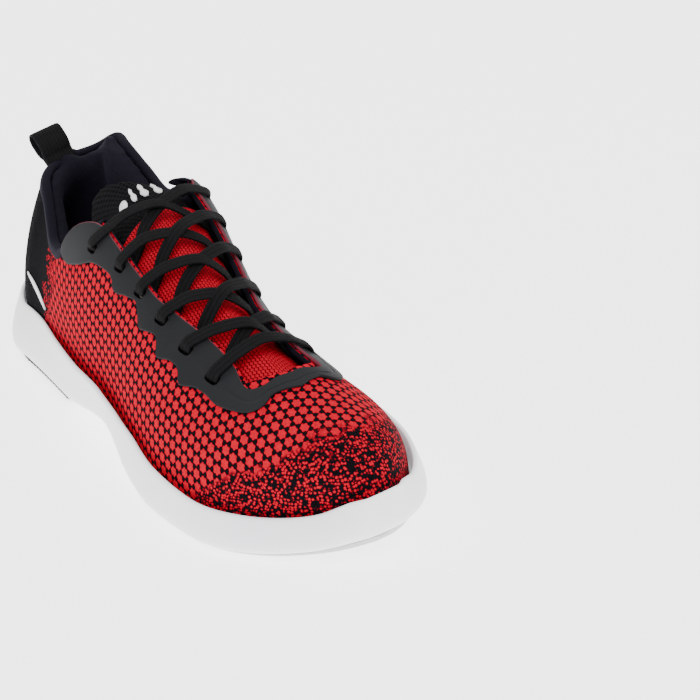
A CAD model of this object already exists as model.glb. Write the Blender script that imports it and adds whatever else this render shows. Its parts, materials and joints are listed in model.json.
# Looks of the right bowling shoe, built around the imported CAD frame.
# The toe points to -Y and the lateral side is -X. Shapes are worked out in millimetres from a
# station, which is the distance from the back of the heel towards the toe, and a place across.

import json
import math

import bmesh
import bpy
import numpy as np
from mathutils import Matrix, Vector


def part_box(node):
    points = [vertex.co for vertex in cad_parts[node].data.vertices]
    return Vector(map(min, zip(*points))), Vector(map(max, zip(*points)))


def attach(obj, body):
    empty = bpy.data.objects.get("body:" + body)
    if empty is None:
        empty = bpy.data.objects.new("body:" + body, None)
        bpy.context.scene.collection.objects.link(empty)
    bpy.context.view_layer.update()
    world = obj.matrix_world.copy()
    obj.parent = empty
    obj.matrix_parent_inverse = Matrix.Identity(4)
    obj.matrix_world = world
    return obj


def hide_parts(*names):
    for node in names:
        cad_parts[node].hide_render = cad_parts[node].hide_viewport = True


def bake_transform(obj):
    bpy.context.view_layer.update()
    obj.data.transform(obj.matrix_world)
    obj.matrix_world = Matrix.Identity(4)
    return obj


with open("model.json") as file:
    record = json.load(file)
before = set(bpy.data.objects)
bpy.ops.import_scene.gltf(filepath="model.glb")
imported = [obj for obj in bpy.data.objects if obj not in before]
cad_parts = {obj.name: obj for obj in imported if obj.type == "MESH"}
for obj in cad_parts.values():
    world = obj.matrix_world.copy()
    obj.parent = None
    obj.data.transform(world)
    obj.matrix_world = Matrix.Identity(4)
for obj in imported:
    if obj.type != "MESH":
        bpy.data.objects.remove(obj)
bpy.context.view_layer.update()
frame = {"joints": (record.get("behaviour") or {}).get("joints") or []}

MM = 0.001
midsole_low, midsole_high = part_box("midsole")
END_MARGIN = 0.7                 # the CAD midsole stops this far short of the outline's ends
HEEL_Y = midsole_high[1] / MM + END_MARGIN
LENGTH = (midsole_high[1] - midsole_low[1]) / MM + 2 * END_MARGIN
AXIS_X = 3.0


# ---- Camera, floor and light ----

LENS = 95.96
SENSOR = 36.0
CAMERA_AT = Vector((-0.359925, -0.676775, 0.455784))
AZIMUTH, ELEVATION, ROLL = (math.radians(angle) for angle in (-33.574, 28.838, -4.281))


def place_camera():
    back = Vector((math.sin(AZIMUTH) * math.cos(ELEVATION),
                   -math.cos(AZIMUTH) * math.cos(ELEVATION), math.sin(ELEVATION)))
    right = (-back).cross(Vector((0, 0, 1))).normalized()
    up = right.cross(-back)
    turned_right = math.cos(ROLL) * right + math.sin(ROLL) * up
    turned_up = math.cos(ROLL) * up - math.sin(ROLL) * right
    camera = bpy.data.objects.new("camera", bpy.data.cameras.new("camera"))
    camera.data.lens = LENS
    camera.data.sensor_width = SENSOR
    camera.data.clip_start = 0.05
    camera.matrix_world = Matrix.Translation(CAMERA_AT) @ Matrix(
        (turned_right, turned_up, back)).transposed().to_4x4()
    bpy.context.collection.objects.link(camera)
    bpy.context.scene.camera = camera


def area_light(name, place, aim, size, power, colour=(1, 1, 1)):
    light = bpy.data.lights.new(name, "AREA")
    light.shape = "DISK"
    light.size = size
    light.energy = power
    light.color = colour
    lamp = bpy.data.objects.new(name, light)
    lamp.location = place
    lamp.rotation_euler = (Vector(aim) - Vector(place)).to_track_quat("-Z", "Y").to_euler()
    bpy.context.collection.objects.link(lamp)


place_camera()


# ---- Node graphs ----

class Graph:
    """Writes one material's nodes."""

    def __init__(self, name, colour=(0.5, 0.5, 0.5), roughness=0.6, **sockets):
        self.material = bpy.data.materials.new(name)
        self.material.use_nodes = True
        self.tree = self.material.node_tree
        self.shader = self.tree.nodes["Principled BSDF"]
        self.set("Base Color", (*colour, 1))
        self.set("Roughness", roughness)
        for socket, value in sockets.items():
            self.set(socket.replace("_", " ").title().replace("Ior", "IOR"), value)

    def set(self, socket, value):
        target = self.shader.inputs[socket]
        if isinstance(value, bpy.types.NodeSocket):
            self.tree.links.new(value, target)
        else:
            target.default_value = value

    def add(self, kind, *values, out=0, **settings):
        node = self.tree.nodes.new("ShaderNode" + kind)
        for key, value in settings.items():
            if key[0].isupper():
                self.feed(node.inputs[key.replace("_", " ")], value)
            else:
                setattr(node, key, value)
        for socket, value in zip(node.inputs, values):
            self.feed(socket, value)
        return node.outputs[out]

    def feed(self, socket, value):
        if isinstance(value, bpy.types.NodeSocket):
            self.tree.links.new(value, socket)
        elif value is not None:
            socket.default_value = value

    def math(self, operation, *values):
        return self.add("Math", *values, operation=operation)

    def plus(self, first, second):
        return self.math("ADD", first, second)

    def minus(self, first, second):
        return self.math("SUBTRACT", first, second)

    def times(self, first, second):
        return self.math("MULTIPLY", first, second)

    def share(self, first, second):
        return self.math("DIVIDE", first, second)

    def stagger(self, column):
        """Half a step for every other column of a repeat."""
        return self.times(self.math("FLOORED_MODULO", self.math("FLOOR", column), 2.0), 0.5)

    def centred(self, value):
        """Place within one repeat, from -0.5 to 0.5."""
        return self.minus(self.math("FRACT", value), 0.5)

    def ramp(self, value, low, high):
        """0 below low, 1 above high, smooth between."""
        return self.add("MapRange", value, low, high, 0.0, 1.0, interpolation_type="SMOOTHSTEP")

    def mix(self, share, first, second):
        node = self.tree.nodes.new("ShaderNodeMix")
        node.data_type = "RGBA"
        self.feed(node.inputs["Factor"], share)
        for socket, value in zip([i for i in node.inputs if i.type == "RGBA"], (first, second)):
            self.feed(socket, colour4(value))
        return next(o for o in node.outputs if o.type == "RGBA")

    def noise(self, scale, detail=3.0, vector=None):
        texture = self.add("TexNoise", Scale=scale, Detail=detail)
        self.feed(texture.node.inputs["Vector"], vector if vector else self.place())
        return texture

    def cells(self, scale, vector=None, out="Color", randomness=1.0):
        texture = self.add("TexVoronoi", Scale=scale, Randomness=randomness)
        self.feed(texture.node.inputs["Vector"], vector if vector else self.place())
        return texture.node.outputs[out]

    def place(self):
        return self.add("TexCoord").node.outputs["Object"]

    def split(self, vector):
        return self.add("SeparateXYZ", vector).node.outputs

    def layer(self, name):
        return self.split(self.add("Attribute", attribute_name=name).node.outputs["Vector"])

    def bump(self, height, distance, strength=1.0):
        node = self.add("Bump", Strength=strength, Distance=distance, Height=height)
        self.set("Normal", node)


def colour4(value):
    return (*value, 1) if isinstance(value, tuple) and len(value) == 3 else value


def speckled(name, dark, light, scale, roughness, depth, **sockets):
    """A plain material with fine mottling and grain."""
    graph = Graph(name, roughness=roughness, **sockets)
    graph.set("Base Color", graph.mix(graph.noise(scale), dark, light))
    graph.bump(graph.noise(scale * 3, 4.0), depth)
    return graph.material


def foam_material():
    graph = Graph("eva_foam", roughness=0.5)
    broad = graph.ramp(graph.noise(22), 0.3, 0.7)
    graph.set("Base Color", graph.mix(broad, (0.88, 0.88, 0.925), (0.92, 0.92, 0.95)))
    grain = graph.plus(graph.noise(1400, 2.0), graph.noise(260, 2.0))
    graph.bump(grain, 0.00006)
    return graph.material


def knit_material():
    """Star tiles in offset rows, which break up into speckle at the toe and turn black at the heel."""
    graph = Graph("star_knit", roughness=0.9, specular_ior_level=0.05)
    girth, station, height = graph.layer("knit")
    pitch_across, pitch_along = 4.6, 4.7
    column = graph.share(girth, pitch_across)
    odd = graph.stagger(column)
    row = graph.plus(graph.share(station, pitch_along), odd)
    across = graph.times(graph.centred(column), pitch_across)
    along = graph.times(graph.centred(row), pitch_along)
    angle = graph.math("ARCTAN2", along, across)
    points = graph.times(graph.math("COSINE", graph.times(angle, 6.0)), -0.22)
    radius = graph.math("SQRT", graph.plus(graph.times(across, across),
                                           graph.times(along, along)))
    edge = graph.minus(graph.plus(points, 2.02), radius)
    tile = graph.ramp(edge, -0.12, 0.22)

    wander = graph.noise(90, 3.0)
    spread = graph.times(graph.minus(wander, 0.5), 26.0)
    toeward = graph.plus(station, spread)
    near_sole = graph.ramp(height, 52.0, 22.0)
    toe = graph.ramp(graph.plus(toeward, graph.times(near_sole, 36.0)), 264.0, 270.0)
    heel_line = graph.plus(47.0, graph.times(graph.minus(height, 40.0), 0.12))
    heelward = graph.minus(toeward, heel_line)
    heel = graph.ramp(heelward, 20.0, 10.0)
    chance = graph.split(graph.cells(740, randomness=0.6))[0]
    patches = graph.ramp(graph.noise(300, 2.0), 0.52, 0.58)
    dark_toe = graph.plus(graph.times(graph.ramp(station, 250.0, 296.0), 0.14),
                          graph.times(patches, 0.36))
    dark_heel = graph.ramp(heelward, 14.0, -3.0)
    level = graph.plus(0.16, graph.math("MAXIMUM", graph.times(dark_toe, toe),
                                               graph.times(dark_heel, 1.2)))
    speckle = graph.ramp(graph.minus(chance, level), -0.02, 0.02)
    stitch = graph.ramp(graph.cells(740, out="Distance", randomness=0.6), 0.62, 0.34)
    speckle = graph.times(speckle, stitch)
    broken = graph.math("MAXIMUM", toe, heel)
    red = graph.plus(graph.times(tile, graph.minus(1.0, broken)),
                     graph.times(speckle, broken))
    collar = graph.ramp(graph.minus(height, graph.times(station, 0.02)), 76.0, 79.0)
    rear = graph.ramp(station, 92.0, 84.0)
    red = graph.times(red, graph.minus(1.0, graph.times(collar, rear)))

    yarn = graph.noise(900, 2.0)
    lit = graph.mix(yarn, (0.36, 0.0, 0.009), (0.66, 0.0, 0.022))
    shade = graph.mix(graph.noise(500, 2.0), (0.001, 0.001, 0.0015), (0.005, 0.004, 0.006))
    graph.set("Base Color", graph.mix(red, shade, lit))
    threads = graph.times(graph.math("SINE", graph.times(girth, 9.0)),
                         graph.math("SINE", graph.times(station, 9.0)))
    height_map = graph.plus(red, graph.times(threads, 0.22))
    graph.bump(height_map, 0.0004, 0.7)
    return graph.material


def fine_knit_material():
    graph = Graph("fine_red_knit", roughness=0.9, specular_ior_level=0.05)
    across, along, _ = graph.layer("knit")
    pitch = 1.9
    column = graph.share(across, pitch)
    odd = graph.stagger(column)
    row = graph.plus(graph.share(along, pitch), odd)
    u = graph.math("ABSOLUTE", graph.centred(column))
    v = graph.math("ABSOLUTE", graph.centred(row))
    stitch = graph.ramp(graph.plus(u, v), 0.78, 0.5)
    yarn = graph.mix(graph.noise(800, 2.0), (0.34, 0.001, 0.009), (0.56, 0.008, 0.024))
    graph.set("Base Color", graph.mix(stitch, (0.04, 0.001, 0.003), yarn))
    graph.bump(stitch, 0.0003, 0.8)
    return graph.material


def mesh_cloth_material():
    """Coarse black spacer mesh with rows of small openings."""
    graph = Graph("spacer_mesh", roughness=0.9, specular_ior_level=0.06)
    x, y, _ = graph.split(graph.place())
    pitch = 0.0021
    column = graph.share(graph.plus(x, graph.times(y, 0.35)), pitch)
    odd = graph.stagger(column)
    row = graph.plus(graph.share(y, pitch * 0.9), odd)
    u = graph.centred(column)
    v = graph.centred(row)
    far = graph.math("SQRT", graph.plus(graph.times(u, u), graph.times(v, v)))
    wall = graph.ramp(far, 0.2, 0.38)
    graph.set("Base Color", graph.mix(wall, (0.0004, 0.0004, 0.0005), (0.0065, 0.0063, 0.0075)))
    graph.bump(wall, 0.0005, 1.0)
    return graph.material


def woven_material(name, layer, dark, light, pitch, depth=0.0003, roughness=0.75):
    """Flat woven tape: herringbone threads along a strip."""
    graph = Graph(name, roughness=roughness, specular_ior_level=0.08)
    across, along, _ = graph.layer(layer)
    fold = graph.math("ABSOLUTE", graph.centred(graph.share(across, pitch * 2)))
    slant = graph.plus(graph.share(along, pitch), graph.times(fold, 4.0))
    thread = graph.ramp(graph.math("ABSOLUTE", graph.centred(slant)),
                        0.48, 0.2)
    thread = graph.times(thread, graph.ramp(fold, 0.02, 0.14))
    graph.set("Base Color", graph.mix(thread, dark, light))
    graph.bump(thread, depth, 0.9)
    return graph.material


def overlay_material():
    """Smooth fused film; its cut inner edge shows the red backing."""
    graph = Graph("fused_overlay", roughness=0.62, specular_ior_level=0.14)
    edge = graph.layer("edge")[0]
    base = graph.mix(graph.noise(60), (0.0075, 0.008, 0.0092), (0.0115, 0.012, 0.0138))
    graph.set("Base Color", graph.mix(graph.ramp(edge, 0.4, 0.8), base, (0.16, 0.03, 0.045)))
    graph.bump(graph.noise(1500, 2.0), 0.00004)
    return graph.material


def lining_material():
    graph = Graph("lining_cloth", roughness=0.86, specular_ior_level=0.12, sheen_weight=0.06,
                  sheen_roughness=0.4)
    graph.set("Sheen Tint", (0.34, 0.30, 0.5, 1))
    graph.set("Base Color", graph.mix(graph.noise(70), (0.0025, 0.002, 0.005), (0.006, 0.005, 0.011)))
    x, y, z = graph.split(graph.place())
    weave = graph.times(graph.math("SINE", graph.times(graph.plus(x, y), 6500.0)),
                       graph.math("SINE", graph.times(z, 7500.0)))
    graph.bump(weave, 0.00012, 0.5)
    return graph.material


def suede_material():
    graph = Graph("slide_microfibre", roughness=0.95, sheen_weight=0.3, sheen_roughness=0.6)
    broad = graph.noise(18)
    graph.set("Base Color", graph.mix(broad, (0.56, 0.565, 0.55), (0.67, 0.675, 0.66)))
    graph.bump(graph.noise(2200, 4.0), 0.00025)
    return graph.material


# ---- Guide curves and the surface of the upper, in millimetres ----

def guide(pairs):
    """A smooth curve through (station, value) pairs, held level beyond its ends."""
    s, v = np.array(pairs, float).T
    last = len(s) - 1
    slope = np.zeros(len(s))
    for i in range(len(s)):
        a, b = max(i - 1, 0), min(i + 1, last)
        turns = (v[i] - v[a]) * (v[b] - v[i]) <= 0
        slope[i] = 0 if turns and 0 < i < last else (v[b] - v[a]) / (s[b] - s[a])

    def value(at):
        at = np.clip(at, s[0], s[-1])
        i = np.clip(np.searchsorted(s, at, side="right") - 1, 0, last - 1)
        h = s[i + 1] - s[i]
        f = (at - s[i]) / h
        ff, fff = f * f, f * f * f
        return ((2 * fff - 3 * ff + 1) * v[i] + (fff - 2 * ff + f) * h * slope[i]
                + (3 * ff - 2 * fff) * v[i + 1] + (fff - ff) * h * slope[i + 1])
    return value


lateral_half = guide([(0, 38), (45, 38.5), (110, 44), (140, 46.5), (175, 55.5), (203, 60),
                      (235, 57.5), (260, 50.5), (300, 36)])
medial_half = guide([(0, 34), (45, 37.5), (85, 34.5), (125, 29.5), (145, 30.5), (180, 42),
                     (212, 52.5), (240, 54), (270, 51), (300, 43)])
underside = guide([(0, 9), (8, 5), (20, 3.3), (88, 3.3), (104, 6), (122, 10), (138, 11.5), (154, 8),
                   (168, 3.6), (182, 2.6), (246, 2.6), (264, 4.2), (282, 8.2), (293, 12.4), (300, 16)])
lip_height = guide([(0, 35), (10, 32.5), (28, 30), (60, 31.5), (100, 34), (132, 34.2), (160, 32.3),
                    (182, 29.5), (205, 25.5), (235, 21.8), (256, 21), (272, 22.3), (284, 25.3),
                    (292, 30), (300, 35)])
lip_inset = guide([(0, 4.5), (22, 7), (48, 6.2), (80, 1.5), (110, -1.6), (140, -2.2), (162, 0),
                   (182, 1.8), (225, 2), (262, 3.2), (300, 3.6)])
footbed = guide([(0, 26), (30, 23.5), (70, 24), (110, 24.5), (140, 23.5), (175, 18), (205, 14.5),
                 (245, 13), (270, 14.8), (290, 19), (300, 22)])
ridge = guide([(0, 130), (60, 124), (86, 111), (110, 103.5), (132, 98.5), (152, 92), (172, 85),
               (192, 77), (210, 70.5), (228, 64.5), (246, 58.5), (264, 53), (282, 50), (300, 47)])
fullness = guide([(0, 3), (50, 1.9), (108, 1.95), (150, 1.86), (210, 1.82), (250, 2), (280, 2.4),
                  (300, 2.6)])
lateral_collar = guide([(0, 94), (15, 94.5), (26, 92.5), (36, 88), (46, 79.5), (56, 72), (66, 71), (76, 76),
                        (86, 84.5), (96, 92), (106, 98), (118, 107), (130, 116)])
medial_collar = guide([(0, 94), (9, 97), (18, 102.5), (30, 105), (46, 103), (60, 96.5), (78, 88.5), (90, 92),
                       (98, 101), (106, 108), (118, 112), (132, 118)])
THROAT_END = 230.5
throat_half = guide([(96, 27), (106, 25.2), (117, 25.2), (133, 25.4), (147, 24.8), (160, 24.2), (171, 22),
                     (192, 17.6), (207, 16.2), (216, 16.4), (223, 17.5), (228, 14), (THROAT_END, 4)])
medial_bulge = guide([(10, 1), (35, 1), (70, 5.5), (86, 10), (100, 19.5), (116, 18.5), (132, 15),
                      (150, 10), (170, 2), (190, -4), (215, -6), (240, -3), (262, 0)])
eyelet_reach = guide([(109, 33), (150, 30), (211, 27.5)])

HEEL_ROUND, TOE_ROUND = 32.0, 70.0
LIP = 3.0
KNIT = 2.4
PLY_GAP = 0.7
STAY = 1.0
COLLAR_LEAN, HEEL_CURVE = 17.0, 14.5
TOE_DOME, DOME_REACH = 262.0, 32.4


def round_ends(s):
    heel = np.maximum(0, 1 - s / HEEL_ROUND)
    toe = np.maximum(0, 1 - (LENGTH - s) / TOE_ROUND)
    return np.sqrt(np.maximum(0, 1 - heel * heel - toe * toe))


def sole_half(s, sign):
    return np.where(np.asarray(sign) < 0, lateral_half(s), medial_half(s)) * round_ends(s)


def inset_half(s, sign, inset):
    wide = LENGTH / 2 + (s - LENGTH / 2) * (1 + 2 * inset / (LENGTH - 2 * inset))
    inside = np.clip(wide, 0, LENGTH)
    half = np.maximum(0, sole_half(inside, sign) - inset * 0.9)
    return np.where((wide <= 0) | (wide >= LENGTH), 0, half)


def wall_half(s, sign, depth):
    return np.maximum(1, inset_half(s, sign, LIP + depth) - lip_inset(s) * 0.7)


def rise(s):
    return (ridge(s) - footbed(s)) * np.sqrt(1 - (np.maximum(0, s - TOE_DOME) / DOME_REACH) ** 2)


def skin(s, turn):
    """Point of the outer skin: turn 0 is the lateral base, 1 the ridge, 2 the medial base."""
    s, turn = np.broadcast_arrays(np.asarray(s, float), np.asarray(turn, float))
    sign = np.where(turn < 1, -1.0, 1.0)
    angle = np.pi / 2 * np.clip(np.where(turn < 1, turn, 2 - turn), 0, 1)
    power = 2 / fullness(s)
    z = footbed(s) + rise(s) * np.sin(angle) ** power
    bulge = np.where(sign > 0, 1.25 * medial_bulge(s) * np.sin(2 * angle) * np.sin(angle), 0)
    x = sign * (wall_half(s, sign, 1.8) * np.maximum(0, np.cos(angle)) ** power + bulge)
    lean = COLLAR_LEAN * np.maximum(0, 1 - s / 180) * (np.maximum(0, z - 30) / 70) ** 1.5
    forward = HEEL_CURVE * np.maximum(0, 1 - s / 70) ** 2 * (np.maximum(0, z - 40) / 57) ** 1.6
    return np.stack([AXIS_X + x + lean, HEEL_Y - s - forward, z], -1)


def unit(vectors):
    return vectors / np.maximum(np.linalg.norm(vectors, axis=-1, keepdims=True), 1e-12)


def skin_normal(s, turn):
    ds, dt = 0.4, 0.012
    t = np.clip(turn, dt, 2 - dt)
    along = skin(s + ds, t) - skin(s - ds, t)
    around = skin(s, t + dt) - skin(s, t - dt)
    return -unit(np.cross(around, along))


def skin_offset(s, turn, out):
    return skin(s, turn) + skin_normal(s, turn) * np.asarray(out)[..., None]


STATION_GRID = np.arange(70.0, 256.0, 1.0)
REACH_GRID = np.arange(-80.0, 80.5, 0.5)


def girth_rows(s):
    """Distance along the skin from the ridge, for each turn of each station."""
    turns = np.linspace(0, 2, 401)
    points = skin(s[:, None], turns[None, :])
    steps = np.linalg.norm(np.diff(points, axis=1), axis=2)
    girth = np.concatenate([np.zeros((len(s), 1)), np.cumsum(steps, axis=1)], axis=1)
    return turns, girth - girth[:, 200:201]


def reach_table():
    turns, girth = girth_rows(STATION_GRID)
    return np.array([np.interp(REACH_GRID, row, turns) for row in girth])


REACH_TABLE = reach_table()


def turn_at(s, reach):
    """Turn of the skin at a distance along it from the ridge, medial positive."""
    s, reach = np.broadcast_arrays(np.asarray(s, float), np.asarray(reach, float))
    i = np.clip((s - STATION_GRID[0]), 0, len(STATION_GRID) - 1.001)
    j = np.clip((reach - REACH_GRID[0]) / 0.5, 0, len(REACH_GRID) - 1.001)
    i0, j0 = i.astype(int), j.astype(int)
    fi, fj = i - i0, j - j0
    rows = REACH_TABLE[i0, j0] * (1 - fj) + REACH_TABLE[i0, j0 + 1] * fj
    more = REACH_TABLE[i0 + 1, j0] * (1 - fj) + REACH_TABLE[i0 + 1, j0 + 1] * fj
    return rows * (1 - fi) + more * fi


def over_throat(s, reach, out):
    return skin_offset(s, turn_at(s, reach), out)


def turn_at_height(s, z):
    """Lateral turn of the skin at a height."""
    share = np.clip((z - footbed(s)) / rise(s), 0, 1)
    return np.arcsin(share ** (fullness(s) / 2)) / (np.pi / 2)


# ---- Mesh building ----

def grid_faces(rows, cols, start=0, close=False):
    index = start + np.arange(rows * cols).reshape(rows, cols)
    if close:
        index = np.concatenate([index, index[:, :1]], axis=1)
    quads = np.stack([index[:-1, :-1], index[:-1, 1:], index[1:, 1:], index[1:, :-1]], -1)
    return quads.reshape(-1, 4).tolist()


def make_piece(name, points, faces, material, body="shoe", layers=None, extra=None, weld=2e-6):
    """One mesh object from points in millimetres, with its doubled corners joined."""
    mesh = bpy.data.meshes.new(name)
    mesh.from_pydata((np.asarray(points) * MM).tolist(), [], faces)
    for layer, values in (layers or {}).items():
        attribute = mesh.attributes.new(layer, "FLOAT_VECTOR", "POINT")
        attribute.data.foreach_set("vector", np.asarray(values, np.float32).ravel())
    mesh.materials.append(material)
    if extra:
        mesh.materials.append(extra[0])
        mesh.polygons.foreach_set("material_index", np.asarray(extra[1], np.int32))
    build = bmesh.new()
    build.from_mesh(mesh)
    bmesh.ops.remove_doubles(build, verts=build.verts, dist=weld)
    bmesh.ops.dissolve_degenerate(build, edges=build.edges, dist=weld)
    bmesh.ops.recalc_face_normals(build, faces=build.faces)
    build.to_mesh(mesh)
    build.free()
    mesh.polygons.foreach_set("use_smooth", np.ones(len(mesh.polygons), bool))
    piece = bpy.data.objects.new(name, mesh)
    bpy.context.collection.objects.link(piece)
    if body:
        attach(piece, body)
    return piece


def crowded(count, rim):
    """Shares from 0 to 1 with extra places inside a rim at each end."""
    inside = rim * np.array([0, 0.04, 0.15, 0.33, 0.6])
    return np.concatenate([inside, np.linspace(rim, 1 - rim, count), 1 - inside[::-1]])


def pillow(name, u, v, rims, place, material, layer=None, **options):
    """A closed sheet with rounded edges: place(u, v, w) gives its points in millimetres."""
    grid_u, grid_v = np.meshgrid(u, v)
    near_u = np.clip(1 - np.minimum(grid_u, 1 - grid_u) / rims[0], 0, 1)
    near_v = np.clip(1 - np.minimum(grid_v, 1 - grid_v) / rims[1], 0, 1)
    full = np.sqrt(np.clip(1 - near_u ** 2 - near_v ** 2, 0, 1))
    sides = [place(grid_u, grid_v, 0.5 + 0.5 * full), place(grid_u, grid_v, 0.5 - 0.5 * full)]
    rows, cols = grid_u.shape
    faces = grid_faces(rows, cols) + grid_faces(rows, cols, rows * cols)
    layers = None
    if layer:
        values = layer[1](grid_u, grid_v).reshape(-1, 3)
        layers = {layer[0]: np.concatenate([values, values])}
    points = np.concatenate([side.reshape(-1, 3) for side in sides])
    return make_piece(name, points, faces, material, layers=layers, **options)


def squarish(values, power):
    """Signed values raised to a power, which squares off a circle."""
    return np.sign(values) * np.abs(values) ** power


def capped_faces(rows, cols, start=0):
    """Faces of a closed tube of rings, with a cap on the first and the last ring."""
    ends = [list(range(start, start + cols)), list(range(start + (rows - 1) * cols, start + rows * cols))]
    return grid_faces(rows, cols, start, close=True) + ends


def path_run(path):
    """Length along a path up to each of its points."""
    return np.concatenate([[0], np.cumsum(np.linalg.norm(np.diff(path, axis=0), axis=1))])


def strip_layer(wide, run):
    """Place across and along a strip, for each point of its rings."""
    across, along = np.broadcast_arrays(wide[None, :], run[:, None])
    return np.stack([across, along, np.zeros(across.shape)], -1).reshape(-1, 3)


def stations(low, high, count, crowd=1.0):
    even = np.linspace(0, 1, count + 1)
    rounded = 0.5 - 0.5 * np.cos(np.pi * even)
    return low + (high - low) * (even + (rounded - even) * crowd)


def smooth(value, low, high):
    share = np.clip((value - low) / (high - low), 0, 1)
    return share * share * (3 - 2 * share)


# ---- Materials ----

foam = foam_material()
rubber = speckled("black_rubber", (0.004, 0.004, 0.005), (0.012, 0.012, 0.013), 160, 0.55, 0.00008,
                  specular_ior_level=0.3)
suede = suede_material()
stripe_blue = speckled("stripe_print", (0.075, 0.13, 0.18), (0.11, 0.17, 0.225), 300, 0.6, 0.00004)
board = speckled("lasting_board", (0.5, 0.46, 0.38), (0.66, 0.62, 0.53), 240, 0.92, 0.0002)
stiff = speckled("stiffener_sheet", (0.02, 0.02, 0.022), (0.035, 0.035, 0.038), 300, 0.75, 0.0001,
                 specular_ior_level=0.15)
sock = speckled("insole_cloth", (0.005, 0.005, 0.007), (0.014, 0.014, 0.017), 1600, 0.9, 0.0003,
                specular_ior_level=0.12)
knit = knit_material()
fine_knit = fine_knit_material()
spacer_mesh = mesh_cloth_material()
lace_weave = woven_material("lace_weave", "weave", (0.001, 0.001, 0.001), (0.008, 0.008, 0.009), 1.1)
webbing = woven_material("tab_webbing", "weave", (0.002, 0.002, 0.002), (0.008, 0.008, 0.009), 0.9, 0.00015)
overlay = overlay_material()
lining = lining_material()
white_print = speckled("white_print", (0.72, 0.72, 0.72), (0.86, 0.86, 0.86), 500, 0.5, 0.00005)
film = speckled("aglet_film", (0.01, 0.01, 0.01), (0.02, 0.02, 0.022), 300, 0.25, 0.00002)


# ---- Sole ----

def sole_stations():
    heel = stations(0, 92, 80)[:-8]
    waist = np.arange(heel[-1] + 0.8, 178, 0.55)
    ends = LENGTH - (LENGTH - 178.5) * (1 - np.sin(np.linspace(0, np.pi / 2, 110)))
    return np.unique(np.round(np.concatenate([heel, waist, ends]), 4))


def waves(s, x):
    """Depth of the fine wavy flutes across the waist of the foam."""
    wander = 1.6 * np.sin(2 * np.pi * x / 22.0)
    bow = 0.006 * x * x
    flute = np.sin(2 * np.pi * (s + wander + bow) / 3.1)
    window = smooth(s, 95, 101) * (1 - smooth(s, 146 + 0.55 * np.abs(x), 150 + 0.55 * np.abs(x)))
    return 0.42 * window * (0.5 + 0.5 * flute)


def build_midsole():
    s = sole_stations()
    count = len(s)
    sign = np.array([-1.0, 1.0])[:, None]
    half = sole_half(s[None, :], sign)
    outline = np.stack([AXIS_X + sign * half, np.broadcast_to(HEEL_Y - s, half.shape)], -1)
    tangent = np.gradient(outline, axis=1)
    tangent[:, 0] = (1, 0)
    tangent[:, -1] = (1, 0)
    inward = unit(np.stack([tangent[..., 1], -tangent[..., 0]], -1) * sign[..., None])
    inward[:, 0] = (0, -1)
    inward[:, -1] = (0, 1)
    low, high, inset = underside(s), lip_height(s), lip_inset(s)
    ends = np.clip(round_ends(s) * 2.5, 0, 1)
    profile = [(5.2, 0, 0), (4.0, 0, 0.004), (2.7, 0, 0.02), (1.5, 0, 0.055), (0.6, 0, 0.11), (0.1, 0, 0.18),
               (-0.1, 0.05, 0.28), (-0.2, 0.15, 0.4), (-0.2, 0.32, 0.54), (-0.1, 0.52, 0.68),
               (0, 0.74, 0.81), (0, 0.92, 0.91), (0.25, 1, 0.965), (0.75, 1, 0.992), (1.4, 1, 1.0),
               (2.05, 1, 0.985), (2.5, 1, 0.95)]
    levels = []
    for depth, share, height in profile:
        move = depth + inset * share
        z = low + (high - low) * height
        level = (outline + inward * np.maximum(move, -2.4)[None, :, None]
                 * np.maximum(ends, 0.6)[None, :, None])
        levels.append(np.concatenate([level, np.broadcast_to(z, half.shape)[..., None]], -1))
    floor_z = footbed(s) - 2.2
    inner = levels[-1].copy()
    inner[..., 2] = np.minimum(floor_z, inner[..., 2])
    levels.append(inner)
    loops = np.array(levels)                                   # level, side, station, xyz
    points, faces = [loops.reshape(-1, 3)], []
    for side in range(2):
        start = side * count
        for level in range(len(levels) - 1):
            base = level * 2 * count + start
            index = base + np.arange(count)
            above = index + 2 * count
            faces += np.stack([index[:-1], index[1:], above[1:], above[:-1]], -1).tolist()
    total = loops.reshape(-1, 3).shape[0]
    share = np.linspace(0, 1, 91)
    for level, relief in ((0, True), (len(levels) - 1, False)):
        left, right = loops[level, 0], loops[level, 1]
        sheet = left[:, None, :] * (1 - share[None, :, None]) + right[:, None, :] * share[None, :, None]
        if relief:
            edge = np.minimum(share, 1 - share)[None, :] * np.linalg.norm(right - left, axis=-1)[:, None]
            sheet[..., 2] += waves(s[:, None], sheet[..., 0] - AXIS_X) * np.clip(edge / 2, 0, 1)
        points.append(sheet.reshape(-1, 3))
        faces += grid_faces(count, len(share), total)
        total += count * len(share)
    piece = make_piece("midsole_foam", np.concatenate(points), faces, foam)
    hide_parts("midsole")


def ground_plate(name, s, across, edge, bottom, thick, relief, material, rim=0.8):
    """A pad under the sole: relief(s, x) lifts its ground face."""
    def place(u, v, w):
        at = s[0] + (s[-1] - s[0]) * v
        left, right = edge(at, -1), edge(at, 1)
        x = -left + (left + right) * u
        ground = w < 0.5
        z = bottom(at) + w * thick + np.where(ground, relief(at, x), 0)
        return np.stack([AXIS_X + x, HEEL_Y - at, z], -1)
    long = s[-1] - s[0]
    return pillow(name, crowded(across, rim / 60), crowded(int(long / 0.7), rim / long),
                  (rim / 60, rim / long), place, material)


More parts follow.
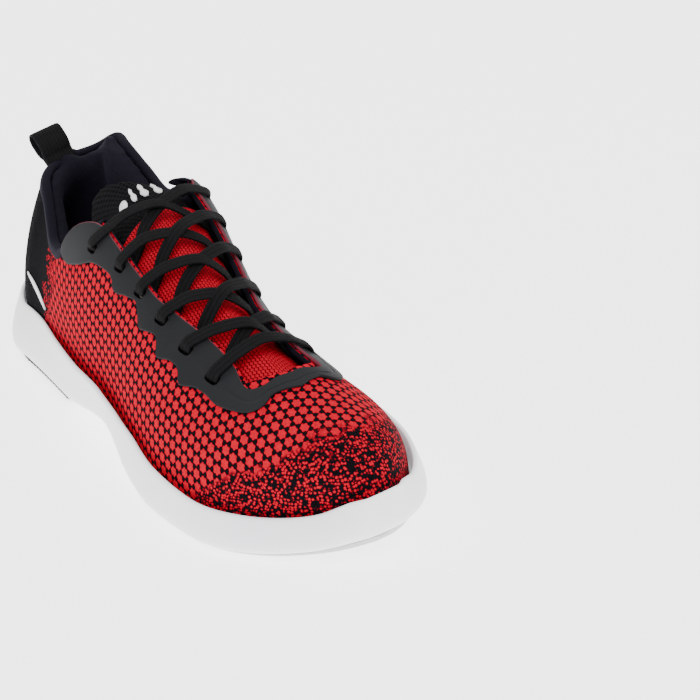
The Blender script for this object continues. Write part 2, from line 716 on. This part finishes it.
def build_heel_pad():
    def edge(s, sign):
        cut = np.where(s > 84, (s - 84) * 0.9, 0)
        teeth = np.where(np.asarray(sign) < 0, 0.35 * np.sin(2 * np.pi * s / 3.4), 0)
        return np.maximum(2, inset_half(s, sign, 3.4) - cut + teeth * smooth(s, 30, 36))

    def relief(s, x):
        half = np.where(x < 0, edge(s, -1), edge(s, 1))
        border = np.minimum(half - np.abs(x), np.minimum(s - 5, 92 - s))
        recess = 0.9 * smooth(border, 5.0, 5.8)
        groove = np.abs((x / 8.5 + 0.5) % 1 - 0.5) * 8.5
        inside = smooth(s, 24, 27) * (1 - smooth(s, 77, 80)) * (np.abs(x) < 21.5)
        return recess + 0.9 * (1 - smooth(groove, 1.2, 1.7)) * inside

    piece = ground_plate("heel_pad_rubber", np.array([5.0, 92.0]), 120, edge,
                         lambda s: np.maximum(0, underside(s) - 3.3), 3.0, relief, rubber)
    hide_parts("heel_pad")


def stripe_line(line, share):
    return 203 + line * 9.3 + share * (4.6 - line * 2.7) + 5 * share * (1 - share)


def build_slide_pad():
    def edge(s, sign):
        arrow = np.maximum(0, s - 149) * 1.55 + 3
        return np.maximum(2, np.minimum(arrow, inset_half(s, sign, 4.5)))

    def relief(s, x):
        half = np.where(x < 0, edge(s, -1), edge(s, 1))
        border = np.minimum(half - np.abs(x), LENGTH - 5 - s)
        seam = 0.35 * np.exp(-((border - 3.2) / 0.5) ** 2)
        share = (38 - x) / 79
        slot = 0
        for line in range(4):
            away = np.abs(s - stripe_line(line, share)) - (1.75 - 1.15 * share)
            within = (share > -0.01) & (share < 1.01)
            slot = np.maximum(slot, 1.2 * (1 - smooth(away, 0.05, 0.35)) * within)
        return seam + slot

    piece = ground_plate("slide_pad_microfibre", np.array([149.0, LENGTH - 5]), 120, edge,
                         lambda s: np.maximum(0, underside(s) - 2.6), 2.2, relief, suede)
    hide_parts("slide_pad")


INSOLE_HEEL, INSOLE_TOE_GAP = 28, 17


def build_insole():
    inset = guide([(0, 14.4), (95, 13.8), (130, 9.8), (LENGTH, 9.5)])

    def place(u, v, w):
        s = INSOLE_HEEL + (LENGTH - INSOLE_TOE_GAP - INSOLE_HEEL) * v
        left, right = wall_half(s, -1, inset(s)), wall_half(s, 1, inset(s))
        x = -left + (left + right) * u
        cup = 1.2 * np.clip(np.abs(2 * u - 1), 0, 1) ** 3 * (1 - smooth(s, 90, 140))
        z = footbed(s) + 0.3 + w * 4 + cup * (w > 0.5)
        return np.stack([AXIS_X + x, HEEL_Y - s, z], -1)

    piece = pillow("insole_sock", crowded(50, 0.03), crowded(130, 0.008), (0.03, 0.008), place, sock,
                   body="insole")
    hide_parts("insole")


# ---- Upper ----

UPPER_FROM, UPPER_TO = 5.25, 294.2


def upper_limits(s):
    """Turn where each side of the upper ends: the collar line, the throat, or the ridge."""
    lateral = turn_at_height(s, lateral_collar(s) - 0.3)
    medial = turn_at_height(s, medial_collar(s) - 0.3)
    half = np.where(s < THROAT_END, throat_half(s), 0)
    half = half * np.sqrt(np.clip((THROAT_END + 0.3 - s) / 6, 0, 1))
    throat_lateral = np.where(s > 70, turn_at(s, -half), 1)
    throat_medial = np.where(s > 70, 2 - turn_at(s, half), 1)
    lateral = np.where(s > 96, np.minimum(lateral, throat_lateral), lateral)
    medial = np.where(s > 96, np.minimum(medial, throat_medial), medial)
    open_to = s > 131
    lateral = np.where(open_to, throat_lateral, lateral)
    medial = np.where(open_to, throat_medial, medial)
    return lateral, medial


FIRST_EYELET, EYELET_STEP, EYELETS = 109, 20.5, 6
TOP_LATERAL_EYELET = (103.5, -37.5)
SLOT_WIDTH, SLOT_LENGTH, SLOT_DEPTH = 5.4, 7.6, 4.5


def eyelet_stations():
    return FIRST_EYELET + EYELET_STEP * np.arange(EYELETS)


def eyelet_place(s, sign):
    """Station and reach of an eyelet; the top lateral one sits further back and out."""
    if sign < 0 and s == FIRST_EYELET:
        return TOP_LATERAL_EYELET
    return s, sign * float(eyelet_reach(s))


def slot_cutter(width, length, depth):
    """One object with a rounded block through the skin at every eyelet."""
    points, faces = [], []
    around = np.linspace(0, 2 * np.pi, 28, endpoint=False)
    square = np.stack([squarish(np.cos(around), 0.6) * width / 2,
                       squarish(np.sin(around), 0.6) * length / 2], -1)
    for s in eyelet_stations():
        for sign in (-1, 1):
            at = over_throat(*eyelet_place(s, sign), 0.0)
            normal = unit(over_throat(*eyelet_place(s, sign), 4.0) - at)
            side = unit(np.cross(np.array([0, 1, 0]), normal))
            along = np.cross(normal, side)
            start = sum(len(block) for block in points)
            ring = at + square[:, :1] * side + square[:, 1:] * along
            points.append(np.concatenate([ring - normal * depth, ring + normal * depth]))
            count = len(around)
            faces += capped_faces(2, count, start)
    return make_piece("slot_cutter", np.concatenate(points), faces, foam, body=None)


def cut_slots(piece, cutter):
    modifier = piece.modifiers.new("slots", "BOOLEAN")
    modifier.operation = "DIFFERENCE"
    modifier.solver = "EXACT"
    modifier.object = cutter
    apply_modifiers(piece)


def apply_modifiers(piece):
    bpy.context.view_layer.update()
    shape = bpy.data.meshes.new_from_object(piece.evaluated_get(bpy.context.evaluated_depsgraph_get()))
    piece.modifiers.clear()
    piece.data = shape
    shape.polygons.foreach_set("use_smooth", np.ones(len(shape.polygons), bool))


def build_upper(cutter):
    s = np.unique(np.round(np.concatenate([
        UPPER_FROM + (60 - UPPER_FROM) * (1 - np.cos(np.linspace(0, np.pi / 2, 60))),
        np.arange(61, 95.6, 1.0), np.arange(96, 97.1, 0.5), np.arange(98, 222, 1.0),
        np.arange(222, 231.2, 0.35), np.arange(232, 262, 1.0),
        262 + (UPPER_TO - 262) * np.sin(np.linspace(0, np.pi / 2, 50))]), 3))
    lateral, medial = upper_limits(s)
    share = np.linspace(0, 1, 61)
    turns, girth = girth_rows(s)
    points, faces, layers, inside = [], [], [], []
    total = 0
    for limit, side in ((lateral, -1), (medial, 1)):
        turn = share[None, :] * limit[:, None]
        turn = turn if side < 0 else 2 - turn
        outer = skin_offset(s[:, None], turn, np.zeros_like(turn))
        inner = skin_offset(s[:, None], turn, np.full_like(turn, -KNIT))
        reach = np.array([np.interp(t, turns, g) for t, g in zip(turn, girth)])
        values = np.stack([reach, np.broadcast_to(s[:, None], reach.shape), outer[..., 2]], -1)
        rows, cols = turn.shape
        for sheet in (outer, inner):
            points.append(sheet.reshape(-1, 3))
            layers.append(values.reshape(-1, 3))
            new = grid_faces(rows, cols, total)
            faces += new
            inside += [0 if sheet is outer else 1] * len(new)
            total += rows * cols
        outer_index = total - 2 * rows * cols + np.arange(rows * cols).reshape(rows, cols)
        inner_index = outer_index + rows * cols
        for column in (0, -1):
            a, b = outer_index[:, column], inner_index[:, column]
            rim = np.stack([a[:-1], a[1:], b[1:], b[:-1]], -1)
            if column == -1:
                rim = rim[s[:-1] < THROAT_END + 0.3]
            faces += rim.tolist()
            inside += [1] * len(rim)
    for row in (0, -1):
        for block in range(2):
            base = block * 2 * rows * cols
            a = base + np.arange(rows * cols).reshape(rows, cols)[row]
            b = a + rows * cols
            faces += np.stack([a[:-1], a[1:], b[1:], b[:-1]], -1).tolist()
            inside += [1] * (cols - 1)
    piece = make_piece("upper_shell", np.concatenate(points), faces, knit,
                       layers={"knit": np.concatenate(layers)}, extra=(lining, inside))
    cut_slots(piece, cutter)
    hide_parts("upper_knit")


def catmull(points, count):
    """A smooth line through 2-D or 3-D points, with as many places between each two."""
    points = np.asarray(points, float)
    padded = np.concatenate([2 * points[:1] - points[1:2], points, 2 * points[-1:] - points[-2:-1]])
    where = np.linspace(0, len(points) - 1, count)
    i = np.minimum(where.astype(int), len(points) - 2)
    f = (where - i)[:, None]
    a, b, c, d = (padded[i + k] for k in range(4))
    return 0.5 * (2 * b + (c - a) * f + (2 * a - 5 * b + 4 * c - d) * f ** 2
                  + (3 * b - a - 3 * c + d) * f ** 3)


def even_line(points, count):
    """A smooth line through 2-D points whose places keep pace with the station."""
    line = catmull(points, 40 * len(points))
    run = np.concatenate([[0], np.cumsum(np.abs(np.diff(line[:, 0])) + 0.25 * np.abs(np.diff(line[:, 1])))])
    where = np.linspace(0, run[-1], count)
    return np.stack([np.interp(where, run, line[:, axis]) for axis in (0, 1)], -1)


STAY_INNER_FRONT = [(117, 26), (133, 26.2), (147, 25.6), (160, 25), (171, 22.8), (192, 18.4), (207, 17),
                    (216, 17.4), (224, 19.5), (229, 18.5), (231.5, 13), (231.5, 6), (232.5, 0)]
STAY_OUTER_FRONT = [(114.5, 40), (124, 38.2), (128.4, 39), (131.8, 41.5), (136, 40.6), (141, 38), (149, 34.8),
                    (152.6, 35.4), (156, 37.6), (160, 40.5), (163.5, 39.6), (171.5, 36), (175, 37), (179, 41),
                    (182.5, 40), (187, 37.4), (192.5, 36.5), (195.6, 38), (198.4, 40.6), (202, 39.4),
                    (207, 36.2), (214, 34.5), (221, 34), (228.5, 31), (236, 26), (239, 19), (237.5, 12.5),
                    (239, 6), (241, 0)]
STAY_REAR = {
    -1: ([(73, 59), (77, 48.5), (84, 38), (95, 29.5), (106, 26.2)],
         [(73.5, 61.5), (82, 59.5), (90, 54.5), (97, 49.8), (106, 43.4)]),
    1: ([(90, 36), (93, 32.5), (96, 30), (101, 27.5), (107, 26.2)],
        [(90.5, 41), (93, 46), (97, 49), (103, 48), (109, 43.6)]),
}


def build_eyestay(cutter):
    fine = 900
    edges = {sign: (even_line(inner + STAY_INNER_FRONT, fine), even_line(outer + STAY_OUTER_FRONT, fine))
             for sign, (inner, outer) in STAY_REAR.items()}

    def line(u, which):
        pick = (1 - np.abs(u - 0.5) * 2) * (fine - 1)
        sides = [np.stack([np.interp(pick, np.arange(fine), edges[sign][which][:, k]) for k in (0, 1)], -1)
                 for sign in (-1, 1)]
        return np.where((u < 0.5)[..., None], sides[0], sides[1])

    def place(u, v, w):
        start, end = line(u, 0), line(u, 1)
        s = start[..., 0] + (end[..., 0] - start[..., 0]) * v
        reach = start[..., 1] + (end[..., 1] - start[..., 1]) * v
        band = smooth(end[..., 0], 205, 225)
        groove = 0.32 * np.exp(-((v - 0.62) / 0.05) ** 2) * band * (w > 0.5)
        out = PLY_GAP * 0.35 + w * (STAY + PLY_GAP * 0.65) - groove
        return over_throat(s, reach * np.where(u < 0.5, -1, 1), out)

    def edge(u, v):
        return np.stack([smooth(v, 0.05, 0.0), u, v], -1)

    piece = pillow("eyestay_overlay", crowded(420, 0.004), crowded(46, 0.035), (0.004, 0.035), place,
                   overlay, layer=("edge", edge))
    cut_slots(piece, cutter)
    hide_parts("eyestay")


def build_heel_bars():
    for sign, side in ((-1, "lateral"), (1, "medial")):
        def place(u, v, w, sign=sign):
            s = 33 + 24 * u
            half = 1.6 * np.sin(np.pi * np.clip(u, 0.03, 0.97)) ** 0.7
            z = 48 - 11 * u + (v - 0.5) * 2 * half
            turn = turn_at_height(s, z)
            return skin_offset(s, turn if sign < 0 else 2 - turn, 0.1 + w * 0.8)
        piece = pillow("heel_bar_" + side + "_print", crowded(40, 0.03), crowded(10, 0.15), (0.03, 0.15),
                       place, white_print)
        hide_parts("heel_bar_" + side)


# ---- Collar ----

def collar_path(count, front):
    """Stations and sides once round the foot opening, from the lateral to the medial front."""
    sweep = 1 - np.sin(np.linspace(0, np.pi / 2, count))
    lateral = UPPER_FROM + 0.25 + (front - UPPER_FROM - 0.25) * sweep
    s = np.concatenate([lateral, lateral[::-1][1:]])
    side = np.concatenate([-np.ones(count), np.ones(count - 1)])
    return s, side


def collar_point(s, side, depth, drop):
    """A point at a depth inside the skin and a drop below the collar line."""
    line = np.where(side < 0, lateral_collar(s), medial_collar(s))
    turn = turn_at_height(s, line - drop)
    turn = np.where(side < 0, turn, 2 - turn)
    return skin_offset(s, turn, -depth)


def ring_loft(name, s, side, rings, material, **options):
    """Closed loft: rings is a list of (depth, drop) arrays along the path."""
    points = np.stack([collar_point(s, side, depth * np.ones_like(s), drop * np.ones_like(s))
                       for depth, drop in rings], 1)
    rows, cols = points.shape[:2]
    return make_piece(name, points.reshape(-1, 3), capped_faces(rows, cols), material, **options)


COLLAR_FRONT = 100.0


def build_collar():
    s, side = collar_path(90, COLLAR_FRONT)
    binding = [(-0.25, 4.2), (-0.75, 3.4), (-0.95, 2.2), (-0.95, 0.9), (-0.7, -0.2), (0.0, -0.95),
               (1.2, -1.4), (2.6, -1.3), (3.4, -0.6), (3.6, 0.4), (3.4, 2.0), (2.8, 3.6),
               (2.75, 0.2), (1.4, 0.0), (0.1, 0.1), (0.05, 2.0)]
    ring_loft("collar_binding", s, side, binding, lining)

    thick = guide([(60, 7.6), (80, 5.6), (94, 3.4), (100, 2.4)])(s)
    top = -1.2
    bottom = np.where(side < 0, lateral_collar(s), medial_collar(s)) - footbed(s) - 4.5
    mid = bottom * 0.45
    rings = [(3.6, 2.4), (3.3, 0.6), (3.9, top * 0.7), (3.6 + thick * 0.35, top),
             (3.6 + thick * 0.72, top * 0.4), (3.8 + thick * 0.97, 2.2), (4.2 + thick * 1.05, 6.5),
             (4.4 + thick * 0.98, 12.0),
             (4.6 + thick * 0.72, mid * 0.75), (5.0 + thick * 0.5, mid), (5.5 + thick * 0.38, bottom * 0.7),
             (5.6 + thick * 0.34, bottom * 0.9), (5.4, bottom), (5.2, bottom * 0.7), (5.1, mid), (4.9, 16.0),
             (4.4, 8.0)]
    piece = ring_loft("collar_pad", s, side, rings, lining, body=None)
    pad = inflate(piece, voxel=3.2, pressure=3.0, cap=1.2)
    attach(pad, "shoe")
    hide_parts("collar_padding")


def inflate(piece, voxel, pressure, cap, frames=20):
    """Remeshes a pad, swells it under pressure and keeps every point within a cap."""
    remesh = piece.modifiers.new("even", "REMESH")
    remesh.mode = "VOXEL"
    remesh.voxel_size = voxel * MM
    apply_modifiers(piece)
    rest = np.empty(len(piece.data.vertices) * 3)
    piece.data.vertices.foreach_get("co", rest)
    cloth = piece.modifiers.new("cloth", "CLOTH")
    cloth.settings.use_pressure = True
    cloth.settings.uniform_pressure_force = pressure
    cloth.settings.effector_weights.gravity = 0
    cloth.settings.tension_stiffness = 25
    cloth.settings.compression_stiffness = 25
    cloth.settings.bending_stiffness = 1.5
    cloth.point_cache.frame_start = 1
    cloth.point_cache.frame_end = frames
    scene = bpy.context.scene
    for at in range(1, frames + 1):
        scene.frame_set(at)
    swollen = np.empty_like(rest)
    shape = piece.evaluated_get(bpy.context.evaluated_depsgraph_get()).to_mesh()
    shape.vertices.foreach_get("co", swollen)
    piece.evaluated_get(bpy.context.evaluated_depsgraph_get()).to_mesh_clear()
    piece.modifiers.clear()
    scene.frame_set(1)
    move = (swollen - rest).reshape(-1, 3)
    far = np.linalg.norm(move, axis=1, keepdims=True)
    move *= np.minimum(1, cap * MM / np.maximum(far, 1e-9))
    piece.data.vertices.foreach_set("co", (rest + move.ravel()))
    finer = piece.modifiers.new("finer", "SUBSURF")
    finer.levels = 1
    apply_modifiers(piece)
    return piece


# ---- Tongue ----

TONGUE_TOP, TONGUE_JOINT = 84.0, 102.0
TONGUE_KNIT_FROM, TONGUE_KNIT_TO = 114, 238
PAD_LATERAL, PAD_MEDIAL, PAD_END = -46, 29, 120


def tongue_depth(s):
    return 6.0 + 3.5 * (1 - smooth(s, TONGUE_TOP, TONGUE_JOINT + 12))


def build_tongue():
    half = guide([(112, 29), (140, 30), (200, 25), (238, 19)])

    def knit_place(u, v, w):
        s = TONGUE_KNIT_FROM + (TONGUE_KNIT_TO - TONGUE_KNIT_FROM) * v
        reach = half(s) * (2 * u - 1)
        crown = 0.9 * (1 - (2 * u - 1) ** 2)
        return over_throat(s, reach, -(tongue_depth(s) + (1 - w) * 3) + crown * w)

    def knit_layer(u, v):
        s = TONGUE_KNIT_FROM + (TONGUE_KNIT_TO - TONGUE_KNIT_FROM) * v
        return np.stack([half(s) * (2 * u - 1), s, u], -1)

    piece = pillow("tongue_knit", crowded(70, 0.03), crowded(150, 0.01), (0.03, 0.01), knit_place,
                   fine_knit, layer=("knit", knit_layer))
    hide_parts("tongue_lower")

    brow = guide([(-46, 72), (-38, 67), (-28, 70), (-18, 76), (-6, 83), (10, 87), (22, 91), (29, 95)])

    def pad_place(u, v, w):
        reach = PAD_LATERAL + (PAD_MEDIAL - PAD_LATERAL) * u
        top = brow(reach)
        s = top + (PAD_END - top) * v
        narrow = 1 - 0.38 * smooth(v, 0.1, 0.95)
        reach = reach * np.where(reach < 0, narrow, 1 - 0.1 * v)
        thick = 3 + 3.4 * np.sin(np.pi * np.clip(v * 1.05, 0, 1)) ** 0.7
        return over_throat(s, reach, -(tongue_depth(s) + 0.3 + (1 - w) * thick))

    pad = pillow("tongue_pad", crowded(24, 0.06), crowded(20, 0.05), (0.1, 0.08), pad_place, spacer_mesh,
                 body=None)
    pad = inflate(pad, voxel=2.2, pressure=3.0, cap=0.8)
    tuple(over_throat(108.0, 0.0, -7.0) * MM)
    tuple(over_throat(100.5, 0.0, -7.0) * MM)
    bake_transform(pad)
    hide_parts("tongue_top")
    build_mark()


def build_mark():
    """A plain pictogram of three pins and a ball, woven in white."""
    points, faces = [], []

    def shape(outline):
        start = sum(len(block) for block in points)
        count = len(outline)
        s, reach = outline[:, 0], outline[:, 1]
        for lift in (-0.1, 0.9):
            points.append(over_throat(s, reach, lift - tongue_depth(s)))
        faces.extend(capped_faces(2, count, start))

    height = np.linspace(0, 1, 13)
    width = guide([(0, 0.55), (0.3, 1.25), (0.62, 0.55), (0.8, 0.78), (0.93, 0.55), (1, 0.1)])(height)
    for middle in (-5.0, 3.5, 12.0):
        left = np.stack([100.5 - 9.5 * height, middle - width * 1.9], -1)
        right = np.stack([100.5 - 9.5 * height, middle + width * 1.9], -1)[::-1]
        shape(np.concatenate([left, right]))
    around = np.linspace(0, 2 * np.pi, 24, endpoint=False)
    shape(np.stack([96.5 + 3.2 * np.sin(around), -14.5 + 3.4 * np.cos(around)], -1))
    piece = make_piece("tongue_pictogram", np.concatenate(points), faces, white_print, body="tongue")
    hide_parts("tongue_mark")


# ---- Lace ----

LACE_WIDE, LACE_THICK = 6.4, 1.7
OVER = PLY_GAP + STAY + LACE_THICK / 2 + 0.15
UNDER = -(KNIT + 0.5 + 1.1)
TUCK_REACH, TUCK_END = 38.0, 238.0


def lace_half(start):
    """Route of one half of the lace, from the middle of the bottom bar to its tucked end."""
    rows = eyelet_stations()[::-1]
    level = 0.0 if start < 0 else 2.0
    sign = start
    route = [(rows[0], 0, OVER + 0.2), (rows[0], sign * 12, OVER + 0.2), (rows[0], sign * 20, OVER + 0.3)]
    for row, s in enumerate(rows):
        at, reach = eyelet_place(s, sign)
        reach = abs(reach)
        route += [(at, sign * (reach - 2.4), OVER + 0.25), (at, sign * (reach + 0.5), 0.7)]
        if row == len(rows) - 1:
            break
        route += [(s, sign * (reach - 1.4), UNDER + 0.2), (s - 2.4, sign * 19, UNDER + 0.1),
                  (s - 5.6, sign * 11, UNDER + 2.6), (s - 10, 0, OVER - 1.6 + level)]
        sign = -sign
        route += [(s - 15.5, sign * 12, OVER + 0.3), (s - 18.6, sign * 20, OVER + 0.1)]
    top = eyelet_stations()[0]
    last, reach = eyelet_place(top, sign)
    route += [(last + 0.8, reach + sign * 1.8, UNDER - 0.2), (top + 5, sign * TUCK_REACH, UNDER - 0.6)]
    route += [(s, sign * TUCK_REACH, UNDER - 0.6) for s in np.arange(top + 16, TUCK_END, 16)]
    return route


def build_lace():
    route = lace_half(-1)[::-1] + lace_half(1)[1:]
    s, reach, out = np.array(route, float).T
    points = over_throat(s, reach, out)
    normals = unit(over_throat(s, reach, out + 2) - points)
    path = catmull(points, (len(points) - 1) * 12 + 1)
    up = unit(catmull(normals, len(path)))
    tangent = unit(np.gradient(path, axis=0))
    wide = np.zeros_like(path)
    previous = np.array([0.0, 1.0, 0.0])
    for i in range(len(path)):
        flat = np.cross(tangent[i], up[i])
        weight = np.linalg.norm(flat) ** 3
        flat = unit(flat) * (1 if np.dot(flat, previous) >= 0 else -1)
        kept = unit(previous - tangent[i] * np.dot(previous, tangent[i]))
        previous = unit(kept * (1 - 0.35 * weight) + flat * 0.35 * weight)
        previous = unit(previous - tangent[i] * np.dot(previous, tangent[i]))
        wide[i] = previous
    thin = np.cross(tangent, wide)
    around = np.linspace(0, 2 * np.pi, 22, endpoint=False)
    flatness = 0.62
    ring_wide = squarish(np.cos(around), flatness) * LACE_WIDE / 2
    ring_thin = squarish(np.sin(around), flatness) * LACE_THICK / 2
    grid = (path[:, None] + wide[:, None] * ring_wide[None, :, None]
            + thin[:, None] * ring_thin[None, :, None])
    piece = make_piece("lace_flat", grid.reshape(-1, 3), capped_faces(*grid.shape[:2]), lace_weave,
                       layers={"weave": strip_layer(ring_wide, path_run(path))})
    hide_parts("lace")


# ---- Pull tab ----

TAB_WIDTH, TAB_HEIGHT, TAB_LEAN, TAB_TILT = 16.0, 15.0, 0.8, 0.14
TAB_JOINT_DROP = (0, 0, 1.0)      # the webbing's base lies this far under its joint
TAB_FOOT = [(0.75, -4.2), (0.75, -2.6), (0.78, -1.0)]     # depth and height of its end in the collar


def build_tab():
    joint = next(joint for joint in frame["joints"] if joint["name"] == "tab_bend")
    round_r, web = 4.8, 1.3
    mid_r = round_r - web / 2
    top = TAB_HEIGHT - round_r
    legs = np.linspace(0, 1, 14)
    right = np.stack([(1 - legs) ** 2 * 1.1 + 2 * legs * (1 - legs) * mid_r + legs ** 2 * mid_r,
                      (1 - legs) ** 2 * 0.7 + 2 * legs * (1 - legs) * 3.5 + legs ** 2 * 7], -1)
    right = np.concatenate([TAB_FOOT, right])
    arc = np.linspace(0, np.pi, 30)
    over = np.stack([mid_r * np.cos(arc), top + mid_r * np.sin(arc)], -1)
    path = np.concatenate([right, over, (right * (-1, 1))[::-1]])
    tangent = unit(np.roll(path, -1, axis=0) - np.roll(path, 1, axis=0))
    out = np.stack([tangent[:, 1], -tangent[:, 0]], -1)
    around = np.linspace(0, 2 * np.pi, 40, endpoint=False)
    wide = squarish(np.cos(around), 0.25) * TAB_WIDTH / 2
    thin = squarish(np.sin(around), 0.5) * web / 2
    grid = np.zeros((len(path), len(around), 3))
    grid[..., 0] = wide[None, :]
    grid[..., 1] = path[:, None, 0] + out[:, None, 0] * thin[None, :]
    grid[..., 2] = path[:, None, 1] + out[:, None, 1] * thin[None, :]
    turn = np.array(Matrix.Rotation(-TAB_TILT, 3, "Y") @ Matrix.Rotation(-TAB_LEAN, 3, "X"))
    base = np.array(joint["pos_m"]) / MM - TAB_JOINT_DROP
    points = grid.reshape(-1, 3) @ turn.T + base
    rows, cols = grid.shape[:2]
    faces = grid_faces(rows, cols, close=True)
    last = (rows - 1) * cols + np.arange(cols)
    first = np.arange(cols)
    faces += np.stack([last, np.roll(last, -1), np.roll(first, -1), first], -1).tolist()
    piece = make_piece("pull_tab_webbing", points, faces, webbing, body="tab",
                       layers={"weave": strip_layer(wide, path_run(path))})
    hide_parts("pull_tab")


# ---- Assembly ----

def finish_cad_nodes():
    """Hidden or already right CAD nodes keep their shape and get a procedural finish."""
    finishes = {"lasting_board": board, "toe_puff": stiff, "heel_counter": stiff,
                "aglet_lateral": film, "aglet_medial": film}
    finishes.update({f"flex_stripe_{line}": stripe_blue for line in range(1, 5)})
    for name, material in finishes.items():
        node = bpy.data.objects[name]
        for slot in node.material_slots:
            slot.material = material


def build_floor():
    size = 6.0
    step = np.linspace(-size, size, 13)
    grid_x, grid_y = np.meshgrid(step, step)
    points = np.stack([grid_x, grid_y, np.zeros_like(grid_x)], -1).reshape(-1, 3) / MM
    graph = Graph("floor", roughness=0.6, specular_ior_level=0.1, emission_strength=2.2)
    graph.set("Emission Color", (1, 1, 1, 1))
    graph.set("Base Color", graph.mix(graph.noise(2), (0.86, 0.86, 0.865), (0.89, 0.89, 0.895)))
    floor = make_piece("floor", points, grid_faces(13, 13), graph.material, body=None)


build_floor()
build_midsole()
build_heel_pad()
build_slide_pad()
build_insole()
slots = slot_cutter(SLOT_WIDTH, SLOT_LENGTH, SLOT_DEPTH)
build_upper(slots)
build_eyestay(slots)
bpy.data.objects.remove(slots)
build_heel_bars()
build_collar()
build_tongue()
build_lace()
build_tab()
finish_cad_nodes()

area_light("key", (-0.9, -0.9, 1.5), (0, 0, 0.03), 1.2, 28)
area_light("fill", (1.3, -0.7, 1.2), (0, 0, 0.03), 1.6, 15)
area_light("back", (0.3, 1.3, 1.4), (0, 0, 0.05), 1.4, 16)

world = bpy.data.worlds.new("studio")
world.use_nodes = True
world.node_tree.nodes["Background"].inputs["Color"].default_value = (1, 1, 1, 1)
world.node_tree.nodes["Background"].inputs["Strength"].default_value = 0.95
bpy.context.scene.world = world
